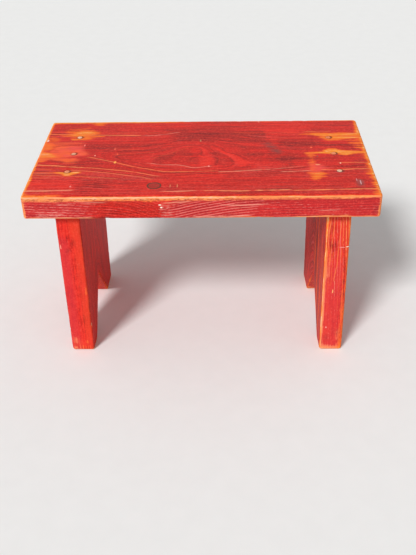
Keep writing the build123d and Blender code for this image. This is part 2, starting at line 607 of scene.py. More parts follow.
class Leg(NamedTuple):
    """How one leg stands, how far each of its edges is worn, and what is painted on it.

    A patch's places are (in from the outer face, height) on the front edge and (back from the front edge,
    height) on the inner face. A line's places have the height first.
    """

    side: int  # -1 for the left leg, 1 for the right
    overhang: float  # from the seat's end in to the outer face
    foot_spread: float
    turn: float  # degrees
    nails: tuple  # back from the leg's front edge
    head_stain: tuple  # how much of the stain each nail head has taken
    seed: float
    slant: float  # of the grain on the front edge
    front_inner_edge: float
    front_outer_edge: float
    front_foot_edge: float
    foot_side_edges: float
    front_raised: float
    inner_ridged: float
    front_colour: Callable
    front_worn: list
    front_tone: list
    front_blush: list
    front_lines_a: list
    front_lines_b: list
    inner_worn: list
    inner_tone: list
    inner_lines: list
    nicks: list  # centre, radii and colour

    def frame(self):
        """Outward and backward directions, the rise to the seat, and the outer front corner on the floor."""
        angle = math.radians(self.turn)
        outwards = np.array([self.side * math.cos(angle), math.sin(angle), 0.0])
        backwards = np.array([-self.side * math.sin(angle), math.cos(angle), 0.0])
        rise = np.array([0.0, 0.0, LEG_HEIGHT]) - outwards * self.foot_spread
        corner_x, corner_y = self.side * (HALF_LENGTH - self.overhang), LEG_SETBACK - HALF_WIDTH
        return outwards, backwards, rise, np.array([corner_x, corner_y, LEG_HEIGHT]) - rise

    def nail_place(self, row):
        """Where a nail goes through the sitting face."""
        outwards, backwards, rise, corner = self.frame()
        return (corner + rise + backwards * self.nails[row] - outwards * NAIL_INSET)[:2]


LEGS = {
    "left": Leg(
        side=-1, overhang=45.0, foot_spread=2.0, turn=0.5, nails=(71.0, 137.0, 203.0),
        head_stain=(0.85, 0.45, 0.2), seed=11.0, slant=0.012,
        front_inner_edge=0.25, front_outer_edge=0.25, front_foot_edge=0.36, foot_side_edges=0.874,
        front_raised=0.3, inner_ridged=0.0, front_colour=left_front,
        front_worn=rows("""
            0.34 4: 12,3 34,3 34,11 12,12
            0.4 4: 4,16 14,14 14,28 5,30
            0.6 2.5: 3,4 9,3 10,9 5,10
            0.55 2.5: 25,15 31,16 30,22 25,21
            0.45 2: 34,120 38,118 38,136 35,134
            0.4 2: 35,84 38,82 38,98 36,96
        """),
        front_tone=rows("""
            -0.5 4: 13,218 18,234 13,232 10,222
            -0.45 4: 22,214 28,226 24,230 20,220
            -0.3 5: 10,200 18,200 18,212 11,212
        """),
        front_blush=rows("0.3 6: 2,6 20,6 18,24 4,30"),
        front_lines_a=rows("""
            0.16 0.1: 40,28 120,27 240,26
            0.14 0.1: 60,16 150,15 220,15
        """),
        front_lines_b=[], inner_worn=[], inner_tone=[], inner_lines=[],
        nicks=nick_rows("""
            -227.1 -128.3 214.2  0.9 3 5  246 150 130
            -231.7 -127.5 101.7  1.2 3 5  250 190 150
            -231.8 -127.5 46.2  1.4 3 5  255 220 190
            -193 -127.5 56.5  1.4 3 4  220 160 130
        """),
    ),
    "right": Leg(
        side=1, overhang=41.0, foot_spread=6.0, turn=1.5, nails=(68.0, 132.0, 196.0),
        head_stain=(0.0, 1.0, 1.0), seed=23.0, slant=0.05,
        front_inner_edge=1.12, front_outer_edge=0.78, front_foot_edge=1.0, foot_side_edges=0.95,
        front_raised=0.5, inner_ridged=0.5, front_colour=right_front,
        front_worn=rows("""
            0.9 7: -4,-12 24,-12 24,7 12,8 -4,12
            1.25 8: 16,-12 44,-12 44,14 32,9 16,6
            0.85 8: -4,-6 10,-6 7,12 4,24 -4,30
            0.5 9: 4,22 13,22 14,40 6,44
            1.2 8: 31,-6 44,-6 44,40 37,16
            0.55 5: 2,26 7,30 8,80 9,128 3,130
            0.55 4: 33,236 37,275 30,275 31,250
            0.6 5: 30,156 40,146 40,222 31,218
        """),
        front_tone=rows("""
            -0.5 3: 24,18 31,22 30,36 25,30
            -0.3 3: 27,204 34,206 34,213 28,212
            -0.25 5: 4,120 20,118 18,136 4,134
            0.15 8: 14,40 34,190
        """),
        front_blush=[],
        front_lines_a=rows("""
            0.9 0.45: 120,37 205,34.5 236,34 275,30.5
            0.8 0.4: 150,22 175,18 197,17.6 219,17.5 236,16.2 275,14
            0.45 0.9: 118,19 126,19.4 165,20.6
            0.55 0.35: 20,6.2 60,5.6 125,6.2 160,7
        """),
        front_lines_b=rows("""
            0.8 0.4: 190,29.6 215,28.8 236,27.2 275,25
            0.5 0.3: 140,26 180,25.6 222,24.4 240,23.2 275,21.5
            0.6 0.35: 190,12.4 231,12 275,10.5
            0.35 0.3: 30,12 100,12.5 150,13
            0.35 0.3: 60,30 110,30.5 150,31
        """),
        inner_worn=rows("""
            0.5 5: 60,40 71,40 75,235 66,235
            0.42 5: 27,20 35,20 33,230 27,230
            0.4 7: 96,100 104,100 106,250 98,250
        """),
        inner_tone=rows("""
            -0.35 6: 42,0 54,0 56,275 44,275
            -0.3 7: 78,90 92,90 94,275 80,275
            -0.25 8: 10,60 20,275
        """),
        inner_lines=rows("""
            0.9 0.4: 40,36 90,33 150,30 210,29
            0.6 0.8: 30,15 120,15 190,16
            0.6 0.5: 40,52 160,50 240,49
            0.45 0.3: 20,24 100,23 220,22
        """),
        nicks=nick_rows("""
            234.2 -128.3 212  4.2 3 1  250 236 214
            224 -128.3 211.2  5 3 0.7  240 150 140
            215.1 -128.3 125  1 3 4  250 170 110
            209.3 -128.3 49.5  1.2 3 1.8  240 160 150
        """),
    ),
}

# x and y of each nail
nail_places = {
    f"nail_{leg_name}_{row_name}": leg.nail_place(row)
    for leg_name, leg in LEGS.items() for row, row_name in enumerate(NAIL_ROWS)
}


# ---------------------------------------------------------------- seat plank

KNOT = (-73.0, -109.0, 10.4)  # x, y and radius

# Growth rings on the sitting face: a ring's number, then places that it passes. The plank is flat sawn
# and the rings close in ovals round its middle.
SEAT_RINGS = rows("""
0.55: -34,-8 -22,-5
1: -86,-20 -78,-9 -60,3 -40,16 -20,33 0,21 14,0 23,-30 12,-43 -5,-48 -40,-38 -65,-37
2: -150,-6 -115,6 -85,10 -55,24 -35,37 -18,43 0,34 16,18 30,5 43,-10 52,-30 40,-47 15,-54 -20,-55 -60,-51
    -95,-38 -125,-22
3: -176,-1 -147,14 -105,20 -70,32 -45,45 -20,52 0,44 15,32 40,7 60,-14 76,-32 55,-51 28,-58
3.6: -186,-6 -165,-16 -145,-24 -128,-34 -110,-43 -80,-54 -68,-60 -30,-63 0,-61 28,-62 68,-60 107,-56 140,-50
    157,-46 175,-41 205,-22 180,-6 150,0 125,12 100,24 60,36 20,51 -10,60 -40,56 -80,40 -147,28
5: -275,-33 -217,-41 -176,-46 -150,-52 -126,-58 -100,-65 -72,-76 -40,-78 0,-74 50,-69 90,-66 134,-63 171,-61
    200,-58 268,-56
5: -275,40 -220,38 -150,40 -100,46 -60,60 -20,70 20,62 60,50 100,42 130,38 180,30 275,20
8: -275,-53 -210,-54 -180,-58 -150,-65 -120,-73 -85,-84 -40,-90 0,-88 50,-83 134,-78 275,-74
8.5: -275,62 -200,64 -150,62 -100,62 -60,75 -20,83 20,80 60,70 100,62 150,55 275,50
11: -275,-66 -200,-68 -150,-77 -110,-88 -40,-101 0,-101 100,-95 275,-91
12: -275,91 -237,86 -150,80 -100,78 -75,82 -47,90 -20,96 20,96 60,90 100,86 275,81
15: -275,-80 -200,-83 -140,-92 -90,-104 0,-112 100,-108 275,-105
15.5: -275,104 -150,96 -90,95 -40,104 20,110 100,102 275,96
20: -275,-121 -150,-124 -34,-128 84,-126 275,-124
20: -275,124 -100,122 0,129 275,122
26: -275,-152 -100,-152 100,-152 275,-152
26: -275,152 -100,152 100,152 275,152
""")
RING_SQUEEZE = 0.45  # how much shorter the grain counts along the plank than across it
RING_SMOOTHING = 60.0  # how freely the rings may miss their places
RINGS_PER_DEPTH = 0.16  # growth rings to each millimetre down

# Where the fan of grain on the front edge runs: x, and how far its lines drop below the sitting face
FRONT_DROP = pairs("-275,0 -200,-3 -130,-7 -112,-10 -85,-20 -62,-31 -48,-31 0,-19 50,-10 100,-5 275,-2")
FRONT_RING_GAP = 4.4

# Patches on the sitting face: strength, softness and outline
SEAT_WORN = rows("""
0.92 11: -236,86 -226,96 -216,102 -200,103 -190,98 -185,88 -188,76 -194,66 -206,63 -212,70 -228,74 -242,80
0.8 4: -252,82 -222,84 -190,80 -172,78 -172,76 -190,72 -222,74 -250,78
0.7 3: -230,69 -205,68 -204,62 -228,62
1.1 4: -236,-60 -226,-60 -212,-61 -206,-58 -196,-60 -195,-64 -205,-68 -209,-75 -219,-75 -223,-68 -234,-65
0.94 9: -277,24 -262,15 -250,9 -238,2 -236,-9 -247,-13 -259,-16 -266,-22 -277,-25
0.62 6: -250,-2 -236,-4 -224,-8 -212,-10 -205,-15 -212,-23 -222,-25 -234,-19 -250,-14
0.98 12: -277,53 -263,51 -254,42 -252,30 -258,22 -277,22
0.34 8: -277,84 -258,82 -246,64 -250,52 -277,54
0.55 8: -246,106 -202,118 -196,100 -242,90
0.7 6: -279,-118 -268,-122 -262,-149 -279,-149
0.95 9: -208,146 -202,132 -192,126 -182,125 -176,131 -171,146
0.8 4: -277,143 -264,141 -268,128 -269,118 -277,110
0.86 7: 180,80 190,84 277,83 277,62 256,60 244,57 232,53 214,52 205,57 202,65 190,73
1.08 7: 186,84 277,83 277,75 194,76
0.6 5: 166,83 186,84 190,78 168,79
0.5 10: 236,58 277,62 277,16 262,16 250,40
0.97 5: 168,5 180,7 200,9 204,16 210,20 222,20 232,15 250,11 277,10 277,3 260,2 249,-1 238,-6 228,-5 226,2
    195,2 182,0 172,-1
0.62 6: 172,3 187,2 186,-8 184,-25 184,-45 180,-66 174,-60 175,-35 174,-10
0.9 8: 170,-68 188,-64 199,-72 197,-80 188,-86 182,-95 175,-92 170,-80
0.9 9: 264,-64 279,-58 279,-147 262,-145 267,-130 268,-110 267,-90 264,-76
0.75 8: 264,82 279,84 279,147 266,145 270,120 268,96
0.75 8: 262,2 279,4 279,-62 266,-60 268,-30
""")
SEAT_BLUSH = rows("""
0.4 7: -278,52 -262,50 -252,34 -262,14 -240,-10 -262,-20 -278,-20
0.95 5: -262,14 -256,20 -250,37 -206,38 -202,30 -201,20 -192,7 -196,0 -214,-2 -226,-6 -244,-4 -250,4
0.6 3: -275,54 -228,53 -205,52 -206,45 -228,42 -250,38 -262,40
0.55 5: -252,-2 -236,-4 -224,-8 -212,-8 -202,-16 -208,-28 -222,-30 -236,-20 -250,-15
0.7 5: 174,-33 184,-35 196,-41 198,-55 190,-67 182,-70 172,-70 174,-50
""")
SEAT_TONE = rows("""
-0.28 7: 24,-42 22,-10 12,20 -4,42 10,36 30,10 46,-10 50,-30 38,-47
0.16 8: -6,2 12,3 22,-20 22,-38 8,-44 -5,-38
0.42 3.5: 14,32 42,6 62,-12 80,-33 60,-48 57,-42 58,-28 42,-4 28,14
-0.2 14: -78,-12 -40,14 -18,28 -8,0 -8,-34 -40,-36 -70,-32
-0.22 16: -60,100 40,110 110,90 110,45 30,55 -50,62
-0.36 8: 128,54 200,53 204,42 188,28 150,26 132,36
-0.13 10: 60,36 104,26 128,10 180,-8 172,-26 110,-24 84,-34 60,0
0.12 12: -46,-72 30,-70 40,-96 0,-106 -46,-104
-0.16 14: -190,-86 -150,-90 -140,-122 -190,-120
0.3 12: -276,-92 -206,-92 -200,-122 -276,-122
0.2 12: 100,140 190,120 180,66 110,66
-0.16 12: -196,24 -150,20 -116,30 -130,48 -196,46
0.12 12: -100,-80 -92,-140 -50,-140 -48,-90
-0.25 6: 185,-44 272,-40 272,-50 190,-50
-0.22 8: 196,36 272,34 272,24 196,22
""")
SEAT_SCUFF = rows("""
0.9 5: 98,43 112,45 122,37 126,24 132,8 126,2 117,10 111,24 105,37
0.9 4: 240,-97 246,-90 252,-100 251,-112 244,-117 240,-108
0.4 4: -45,50 -38,66
""")
SEAT_RIDGED = rows("""
0.6 14: -270,-46 -150,-60 -70,-72 -60,-92 -150,-92 -270,-84
0.4 16: -275,100 -120,92 -60,80 -120,66 -275,66
0.35 14: 60,-80 270,-40
0.35 14: 60,86 275,80 275,60 100,60
0.4 12: -275,-136 275,-108
""")

# Patches on the front edge, as (x, z)
FRONT_TONE = rows("""
-0.26 6: -262,277 -160,277 -190,292 -262,292
-0.14 20: -280,265 -165,325
-0.1 20: -165,265 -50,325
-0.3 3: 50,303 160,305 160,300 50,298
0.06 8: -68,276 -42,300
-0.6 2.5: 262,284 270,282 271,294 266,294
-0.14 20: -50,265 280,325
""")
FRONT_WARM = rows("""
-0.65 26: -300,250 -165,340
-0.6 26: -55,250 300,340
-0.6 4: -200,305 0,340
""")
FRONT_RAISED = rows("""
0.95 22: -290,260 -168,260 -150,312 -290,312
1.4 12: -262,270 -205,270 -200,292 -255,292
0.3 16: -160,260 -60,260 -60,310 -150,310
1.2 8: -66,262 -40,304
0.75 14: -56,260 70,260 120,308 -50,308
1.05 4: 30,297 125,303
0.56 16: 60,260 290,308
""")
FRONT_RIDGED = rows("""
0.4 22: -290,260 -168,260 -150,310 -290,310
0.35 16: -165,260 -60,260 -60,310 -150,310
1.1 14: -56,256 60,256 100,310 -46,310
0.28 18: 60,260 290,260 290,308 110,308
""")

# Lines of grain: strength, hue from salmon to pale pink, and places. Those of the front edge are (x, z).
SEAT_LINES_A = rows("""
1 0.55: -272,-34 -240,-37 -217,-41 -195,-44
0.7 0.55: -186,-45 -176,-46 -150,-52 -126,-57 -100,-64 -85,-71 -72,-77
0.6 0.45: -272,-65 -245,-65 -225,-64
1 0.45: -274,88 -240,86 -190,83 -150,81 -112,80
0.6 1: -104,78 -84,79 -66,84 -47,91
1 0.8: -272,-124 -242,-124 -200,-122
0.85 0.8: -58,-128 -36,-128 -10,-126
1 0.65: 6,-126 20,-126 62,-128 70,-127
1 0.65: 88,-126 110,-126 134,-125
1 0.55: 146,-127 170,-126 200,-125 271,-123
0.7 0.9: 132,-64 150,-63 171,-61
1 0.5: 196,-58 225,-57 268,-55
0.85 0.45: 226,-33 266,-33
0.85 0.4: 180,90 218,90
0.35 0.2: -145,3 -110,8 -86,10
0.4 0.3: -80,-11 -60,2 -42,15 -26,28 -20,33
""")
SEAT_LINES_B = rows("""
0.75 0.5: -186,-6 -165,-16 -145,-25 -128,-34 -110,-43 -98,-48
0.85 0.5: -90,-50 -80,-54 -66,-60 -45,-62 0,-61 22,-59
0.75 0.85: 30,-63 50,-62 76,-59 107,-56
0.5 0.9: 112,-55 140,-50 160,-45
0.6 0.5: -212,-53 -180,-58 -150,-64 -122,-72 -96,-78 -82,-87
0.7 0.3: -274,-48 -258,-49 -246,-50
0.7 0.3: -274,-60 -250,-61 -236,-62
0.6 0.35: -270,-80 -256,-80 -244,-80
0.6 0.4: -272,-70 -230,-73 -200,-75 -165,-80 -138,-84
0.6 1: -86,-30 -65,-37 -40,-37 -26,-42 -14,-49 -4,-47 11,-43
0.35 0.3: -147,26 -105,22
0.4 0.1: -265,36 -206,35
0.3 0.1: 120,60 150,66 170,66
0.5 0.2: -270,97 -190,92 -60,90
0.35 0.3: 56,88 160,86
""")
FRONT_LINES = rows("""
0.75 0.8: -240,276.5 -205,277 -174,276.5
0.8 0.6: 150,276.5 190,277.5 222,278.5
0.6 1: -8,278 40,278 72,279
0.6 1: 34,298 60,297 98,298.5
0.6 0.9: -56,301.5 -40,302.5 -20,304
0.4 1: 185,287 208,288
0.45 1: -215,300 -196,299.5
0.4 1: -190,305 -150,303
""")

# Wear of the long edges, as (x, amount). The band's amount is how far down the front edge is rubbed;
# the table after it is a painted highlight, as (x, amount), that lightens the band's core.
FRONT_BAND = pairs("-275,9.8 -20,9.2 60,8.2 120,7 180,6 275,5.4")
FRONT_PAINTED_HIGHLIGHT = pairs("-275,0.58 -160,0.58 -110,0.5 -70,0.42 -20,0.42 20,0.48 90,0.38 160,0.3 275,0.26")
BACK_RIM = pairs("-275,1 -90,0.95 -40,0.6 0,0.4 140,0.3 275,0.5")
UNDER_RIM = pairs("""
-275,0.5 -262,1 -176,1 -160,0.35 -20,0.35 5,0.7 70,0.7 90,0.4 140,0.45 156,1 222,1 240,0.6 256,1 275,1
""")

SEAT_NICKS = nick_rows("""
-179.2 0 313.8  1.2 2.4 2  240 170 150
-62.6 -142.8 298.4  2.2 2 1.1  250 236 214
-60.6 -142.8 294  2.2 2 1.3  250 236 214
224.5 -34.5 313.8  1.5 2.4 2  244 196 170
11 -43 313.8  1.6 2.2 2  250 170 160
-4 55.5 313.8  1.3 4.2 2  176 128 92
-143 -26.2 313.8  2.2 4 2  255 176 84
-148.5 25 313.8  2 2.6 2  240 104 78
-142 5 313.8  1.4 3 2  244 90 50
-268.5 60 313  2 5 3  246 200 186
-202 40 313.8  1.2 4 2  240 130 116
99 136.5 313.6  1.8 4 2  236 130 110
190 -9 313.8  1.6 3 2  150 70 60
187 -40 313.8  4 2 2  240 150 112
183 26 313.8  2.2 2.8 2  245 100 60
246.5 -100 313.8  6 9 2  164 70 66
247 -102 313.8  1 8 2  206 160 160
242 -93 313.8  0.8 5 2  200 140 140
-203 -110 313.8  1.6 3 2  232 130 120
-48 -110.5 313.8  0.9 5 2  206 122 84
-37 -110 313.8  0.9 6 2  214 130 88
""")


def ring_field(x, y):
    """Growth ring number anywhere on the sitting face: a thin plate through the places of SEAT_RINGS."""
    places = np.array([place for _, ring in SEAT_RINGS for place in ring]) * (RING_SQUEEZE, 1)
    numbers = [number for number, ring in SEAT_RINGS for _ in ring]

    def kernel(spots):
        square = ((spots[:, None] - places) ** 2).sum(2)
        return 0.5 * square * np.log(square + 1e-6)

    def plane(spots):
        return np.column_stack([np.ones(len(spots)), spots])

    bend = kernel(places) + RING_SMOOTHING * np.eye(len(places))
    system = np.block([[bend, plane(places)], [plane(places).T, np.zeros((3, 3))]])
    weights = np.linalg.solve(system, np.append(numbers, np.zeros(3)))
    spots = np.column_stack([x * RING_SQUEEZE, y])
    batches = np.array_split(spots, 1 + len(spots) // 20000)
    return np.concatenate([np.hstack([kernel(batch), plane(batch)]) @ weights for batch in batches])


def seat_distance(points):
    """Signed distance to the plank, whose rubbed edges are rounder in some places than in others."""
    x, y, z = points.T
    middle = (SEAT_Z + UNDER_Z) / 2
    uneven = 0.5 * noise(x / 60, y / 60, 0.5)
    radius = np.where(z > middle, 4.7 + 0.7 * uneven, 1.9 + 0.4 * uneven)
    plan = rounded(np.abs(x) - HALF_LENGTH, np.abs(y) - HALF_WIDTH, 5.4)
    return rounded(plan, np.abs(z - middle) - (SEAT_Z - UNDER_Z) / 2, radius)


def spot_round(places):
    """The middle of some nails' places along one axis, and how far round it the grid is fine."""
    return (min(places) + max(places)) / 2, (max(places) - min(places)) / 2 + 6.5


def seat_grid():
    """Points on the plank's surface, closest together round the nails, its slope there, and its quads."""
    nails = np.array(list(nail_places.values())).reshape(len(LEGS), len(NAIL_ROWS), 2)
    columns = [spot_round(leg_nails[:, 0]) for leg_nails in nails]
    lanes = [spot_round(row_nails[:, 1]) for row_nails in nails.swapaxes(0, 1)]
    xs = lines_between(-HALF_LENGTH, HALF_LENGTH, 3.3, fine_spots=columns, fine_step=0.85)
    ys = lines_between(-HALF_WIDTH, HALF_WIDTH, 2.0, fine_spots=lanes, fine_step=1.0)
    zs = lines_between(UNDER_Z, SEAT_Z, 2.4, fine_ends=(4.0, 8.0))
    index, quads = shell_of_grid(xs, ys, zs)
    sharp = np.column_stack([xs[index[:, 0]], ys[index[:, 1]], zs[index[:, 2]]])
    points = settle(sharp, seat_distance)
    return points, slope_of(seat_distance, points), quads


def seat_rings(x, y, z, front):
    """Growth rings, drawn in round the knot and cut by every face, and the fan on the front edge."""
    knot_x, knot_y, _ = KNOT
    near_knot = np.exp(-(((x - knot_x) / 26) ** 2) - ((y - knot_y) / 17) ** 2)
    ring = ring_field(x, knot_y + (y - knot_y) * (1 - 0.72 * near_knot)) + RINGS_PER_DEPTH * (z - SEAT_Z)
    ring = ring + 0.35 * noise(x / 45, y / 14, z / 20)
    even_x = np.arange(-HALF_LENGTH, HALF_LENGTH + 1, 5.0)
    drop = np.pad(np.interp(even_x, *zip(*FRONT_DROP)), 3, mode="edge")
    smooth_drop = np.convolve(drop, np.ones(7) / 7, mode="valid")
    fan = 20 + (z - SEAT_Z - np.interp(x, even_x, smooth_drop)) / FRONT_RING_GAP
    return ring * (1 - front) + fan * front


def seat_edges(x, y, z, ragged):
    """Wear of the plank's edges with a painted highlight in the rubbed band on the front edge, and the flecks
    along the band's foot.
    """
    to_left, to_right = x + HALF_LENGTH, HALF_LENGTH - x
    to_front, to_back = y + HALF_WIDTH, HALF_WIDTH - y
    to_top, to_under = SEAT_Z - z, z - UNDER_Z
    band_foot = np.interp(x, *zip(*FRONT_BAND)) + ragged
    band = smoothstep(0.6, 2.2, to_top + 0.5 * ragged) * smoothstep(band_foot + 1.8, band_foot - 2.2, to_top)
    # painted highlight along the core of the rubbed band, about 2.6 mm below the top of the front edge
    painted_highlight = np.interp(x, *zip(*FRONT_PAINTED_HIGHLIGHT)) * np.exp(-(((to_top - 2.6) / 2.3) ** 2))
    flecked = smoothstep(3.3, 5.8, to_top) * smoothstep(band_foot + 4.0, band_foot - 1.0, to_top)
    patchy = np.clip(0.72 + 0.5 * noise(x / 42, y / 42, z / 42 + 3), 0, 1)
    edges = worn_edges(ragged, [
        (0.8 * smoothstep(-195, -235, x), to_front, to_top, (4.6, 1), (7.6, 1)),
        (np.interp(x, *zip(*BACK_RIM)), to_back, to_top, (6.4, 1), (12.0, 1)),
        (1.02, to_left, to_top, (3.0, 1.2), (9.0, 1.6)),
        (0.96, to_right, to_top, (3.2, 1.4), (12.0, 2)),
        (np.interp(x, *zip(*UNDER_RIM)), to_front, to_under, (0.9, 0.6), (3.0, 1)),
        (0.8 * patchy, to_back, to_under, (1.0, 1), (4.0, 1)),
        (0.9 * patchy, to_left, to_under, (1.0, 1), (4.0, 1)),
        (1.1 * patchy, to_right, to_under, (1.4, 1), (4.5, 1)),
        (0.9, to_left, to_front, (2.6, 1), (6.0, 1)),
        (0.9, to_right, to_front, (2.8, 1), (6.5, 1)),
        (0.8, to_left, to_back, (2.4, 1), (6.0, 1)),
        (0.8, to_right, to_back, (2.4, 1), (6.0, 1)),
    ])
    band = band * smoothstep(7.0, 5.0, to_front) * (0.74 + painted_highlight)
    return np.maximum(band, edges), 0.85 * flecked * (to_front < 6)


def crushed_wood_and_shade_round_nails(x, y, ragged):
    """Dark crushed wood round each nail, and painted shade that puts most of the ring on one side."""
    crushed_and_shade = np.zeros(len(x))
    for nail_x, nail_y in nail_places.values():
        away = np.hypot(x - nail_x, y - nail_y)
        # painted shade: most of the ring's darkness lies on one side of each nail
        shade_side = 0.5 + 0.5 * ((x - nail_x) * 0.8 - (y - nail_y) * 0.6) / np.maximum(away, 1e-6)
        dark_ring = smoothstep(6.6 + 1.4 * shade_side + 0.6 * ragged, 4.9 + shade_side, away) * (0.12 + 0.83 * shade_side)
        crushed_and_shade = np.maximum(crushed_and_shade, dark_ring)
    return crushed_and_shade


def seat_fields(points, normal, up):
    """The fields of the seat's wood."""
    x, y, z = points.T
    front = smoothstep(0.45, 0.95, -normal[:, 1])
    ends = smoothstep(0.6, 0.9, np.abs(normal[:, 0]))
    on_long_edge = np.abs(normal[:, 1]) > 0.7
    ragged = 0.9 * noise(x / 16, y / 16, z / 16) + 0.5 * noise(x / 5, y / 5, z / 5)
    shifted = x + 1.6 * noise(x / 9, y / 4, 3.0), y + 1.2 * noise(x / 14, y / 3, 9.0)
    worn, flecked = seat_edges(x, y, z, ragged)
    top_lines = thin_lines(x, y, SEAT_LINES_A) * up[:, None]
    return {
        "grain": np.column_stack([x * (1 - ends), seat_rings(x, y, z, front), np.where(on_long_edge, y, z)]),
        "across": np.where(on_long_edge, z, y),
        # the worn field holds the rubbed wear and, along the front edge, the painted highlight
        "worn": np.maximum(worn, up * painted(*shifted, SEAT_WORN, 0.5)),
        "tone": up * painted(*shifted, SEAT_TONE) + front * painted(x, z, FRONT_TONE) - 0.3 * ends,
        "warm": 0.1 * up + front * painted(x, z, FRONT_WARM),
        "scuff": up * painted(*shifted, SEAT_SCUFF),
        "raised": 0.2 + front * painted(x, z, FRONT_RAISED),
        "ridged": up * (0.1 + painted(x, y, SEAT_RIDGED)) + front * painted(x, z, FRONT_RIDGED),
        "blush": up * painted(*shifted, SEAT_BLUSH, 0.5),
        "crushed_and_shade": up * crushed_wood_and_shade_round_nails(x, y, ragged),
        "flecked": flecked,
        "lines_a": np.where(front[:, None] > 0.5, thin_lines(x, z, FRONT_LINES), top_lines),
        "lines_b": thin_lines(x, y, SEAT_LINES_B) * up[:, None],
    }


def seat_relief(points, normal, up, ring):
    """How far in the wood has gone: worn hollows, ridges of late wood, the knot, and dents."""
    x, y, z = points.T
    flat = smoothstep(0.9, 1.0, np.abs(normal).max(1))
    relief = 0.10 * smoothstep(0.9, 0.3, ring % 1) * (0.4 + 0.6 * up)
    relief += 0.16 * up * (1 + noise(x / 70, y / 45, 5.0)) + 0.05 * (1 + noise(x / 12, y / 4.5, z / 4.5))
    relief += 0.14 * (1 - flat) * (1 + noise(x / 13, y / 13, z / 13)) * smoothstep(UNDER_Z, UNDER_Z + 8, z)
    for _ in range(26):
        end = rng.uniform() < 0.35
        spot = [
            rng.choice([-1, 1]) * HALF_LENGTH if end else rng.uniform(-HALF_LENGTH, HALF_LENGTH),
            rng.uniform(-HALF_WIDTH, HALF_WIDTH) if end else rng.choice([-1, 1]) * HALF_WIDTH,
            SEAT_Z if rng.uniform() < 0.7 else UNDER_Z,
        ]
        relief += dent(points, spot, rng.uniform(2.5, 6), rng.uniform(0.3, 1.0))
    for _ in range(14):
        spot = [rng.uniform(-260, 260), rng.uniform(-130, 130), 0]
        size = np.array([1, 0.6, np.inf]) * rng.uniform(2.0, 5.0)
        relief += up * dent(points, spot, size, rng.uniform(0.12, 0.35))
    knot_x, knot_y, knot_radius = KNOT
    near = np.hypot(x - knot_x, y - knot_y) / knot_radius
    relief += up * (0.3 * np.exp(-(((near - 1) / 0.13) ** 2)) - 0.1 * np.exp(-(near**2)))
    return np.maximum(relief, 0)


def sink_nail_holes(points, up):
    """Hammers a dimple into the top round each nail, with a round hole in it for the head."""
    dimple_depth, dimple_radius, hole_depth, snap = 1.0, 7.0, 2.3, 0.42
    for place in nail_places.values():
        offset = points[:, :2] - place
        away = np.hypot(*offset.T)
        top = (up > 0.9) & (away < 22)
        points[top, 2] -= dimple_depth * np.exp(-((away[top] / dimple_radius) ** 2))
        rim = top & (np.abs(away - HOLE_RADIUS) < snap)
        points[rim, :2] = place + offset[rim] * (HOLE_RADIUS / away[rim])[:, None]
        points[top & (away <= HOLE_RADIUS - snap), 2] = SEAT_Z - hole_depth


def make_seat():
    points, normal, quads = seat_grid()
    up = smoothstep(0.5, 0.9, normal[:, 2])
    fields = seat_fields(points, normal, up)
    points = points - normal * seat_relief(points, normal, up, fields["grain"][:, 1])[:, None]
    sink_nail_holes(points, up)
    knot_x, knot_y, knot_radius = KNOT
    material = wood("seat_wood", [((knot_x, knot_y, SEAT_Z), knot_radius)], SEAT_NICKS, seed=0.0)
    return new_mesh("seat_plank", points, quads, material, fields)


# ---------------------------------------------------------------- legs

LEG_OUTLINE = [  # back from the front edge, and up from the floor to well above the seat's underside
    (0.0, 0.0), (FRONT_FOOT, 0.0), (NOTCH_TIP, NOTCH_HEIGHT), (LEG_WIDTH - BACK_FOOT, 0.0),
    (LEG_WIDTH, 0.0), (LEG_WIDTH, LEG_HEIGHT + 30), (0.0, LEG_HEIGHT + 30),
]
LEG_CORNER_RADIUS = 3.2
LEG_RING_GAP = 3.1
LEG_EDGE_RING_GAP = 4.6  # between the rings on the front edge


def leg_distance(points):
    """Signed distance to a slab leg in its own square frame: back, out-to-in, up."""
    back, inward, up = points.T
    uneven = 0.5 * noise(back / 40, inward / 40, up / 40)
    edge_radius = 3.2 + uneven + 1.8 * smoothstep(16, 4, up) * smoothstep(30, 8, back)
    outline = polygon_distance(back, up, inset(LEG_OUTLINE, LEG_CORNER_RADIUS)) - LEG_CORNER_RADIUS
    half = LEG_THICKNESS / 2
    return rounded(outline, np.abs(inward - half) - half, edge_radius)


def notch_floor(back):
    """Height of the leg's lower edge at a place back from its front edge."""
    return np.clip(NOTCH_HEIGHT * (1 - np.abs(back - NOTCH_TIP) / (NOTCH_TIP - FRONT_FOOT)), 0, None)


def leg_grid():
    """Points on a leg's surface in its own square frame, its slope there, its top points, and its quads."""
    step = 1.9
    notch_spots = ((FRONT_FOOT, 5.0), (NOTCH_TIP, 4.0), (LEG_WIDTH - BACK_FOOT, 5.0))
    backs = lines_between(0, LEG_WIDTH, step, fine_ends=(5.2, 5.2), fine_spots=notch_spots, fine_step=1.0)
    inwards = lines_between(0, LEG_THICKNESS, 1.7, fine_ends=(5.2, 5.2))
    heights = lines_between(0, LEG_HEIGHT, 3.6, fine_ends=(6.5, 1.0))
    index, quads = shell_of_grid(backs, inwards, heights)
    back, inward, height = backs[index[:, 0]], inwards[index[:, 1]], heights[index[:, 2]]

    # The lowest lines follow the notch and the others even out above it
    floor, low = notch_floor(back), 8.0
    stretch = (LEG_HEIGHT - floor - low) / (LEG_HEIGHT - low)
    height = floor + np.where(height <= low, height, low + (height - low) * stretch)
    sharp = np.column_stack([back, inward, height])
    at_top = index[:, 2] == len(heights) - 1
    half_width, half = LEG_WIDTH / 2, LEG_THICKNESS / 2
    well_in = (np.abs(back - half_width) < half_width - 6) & (np.abs(inward - half) < half - 6)
    points = np.where((at_top & well_in)[:, None], sharp, settle(sharp, leg_distance))
    points[at_top, 2] = LEG_HEIGHT
    return points, slope_of(leg_distance, points), at_top, quads


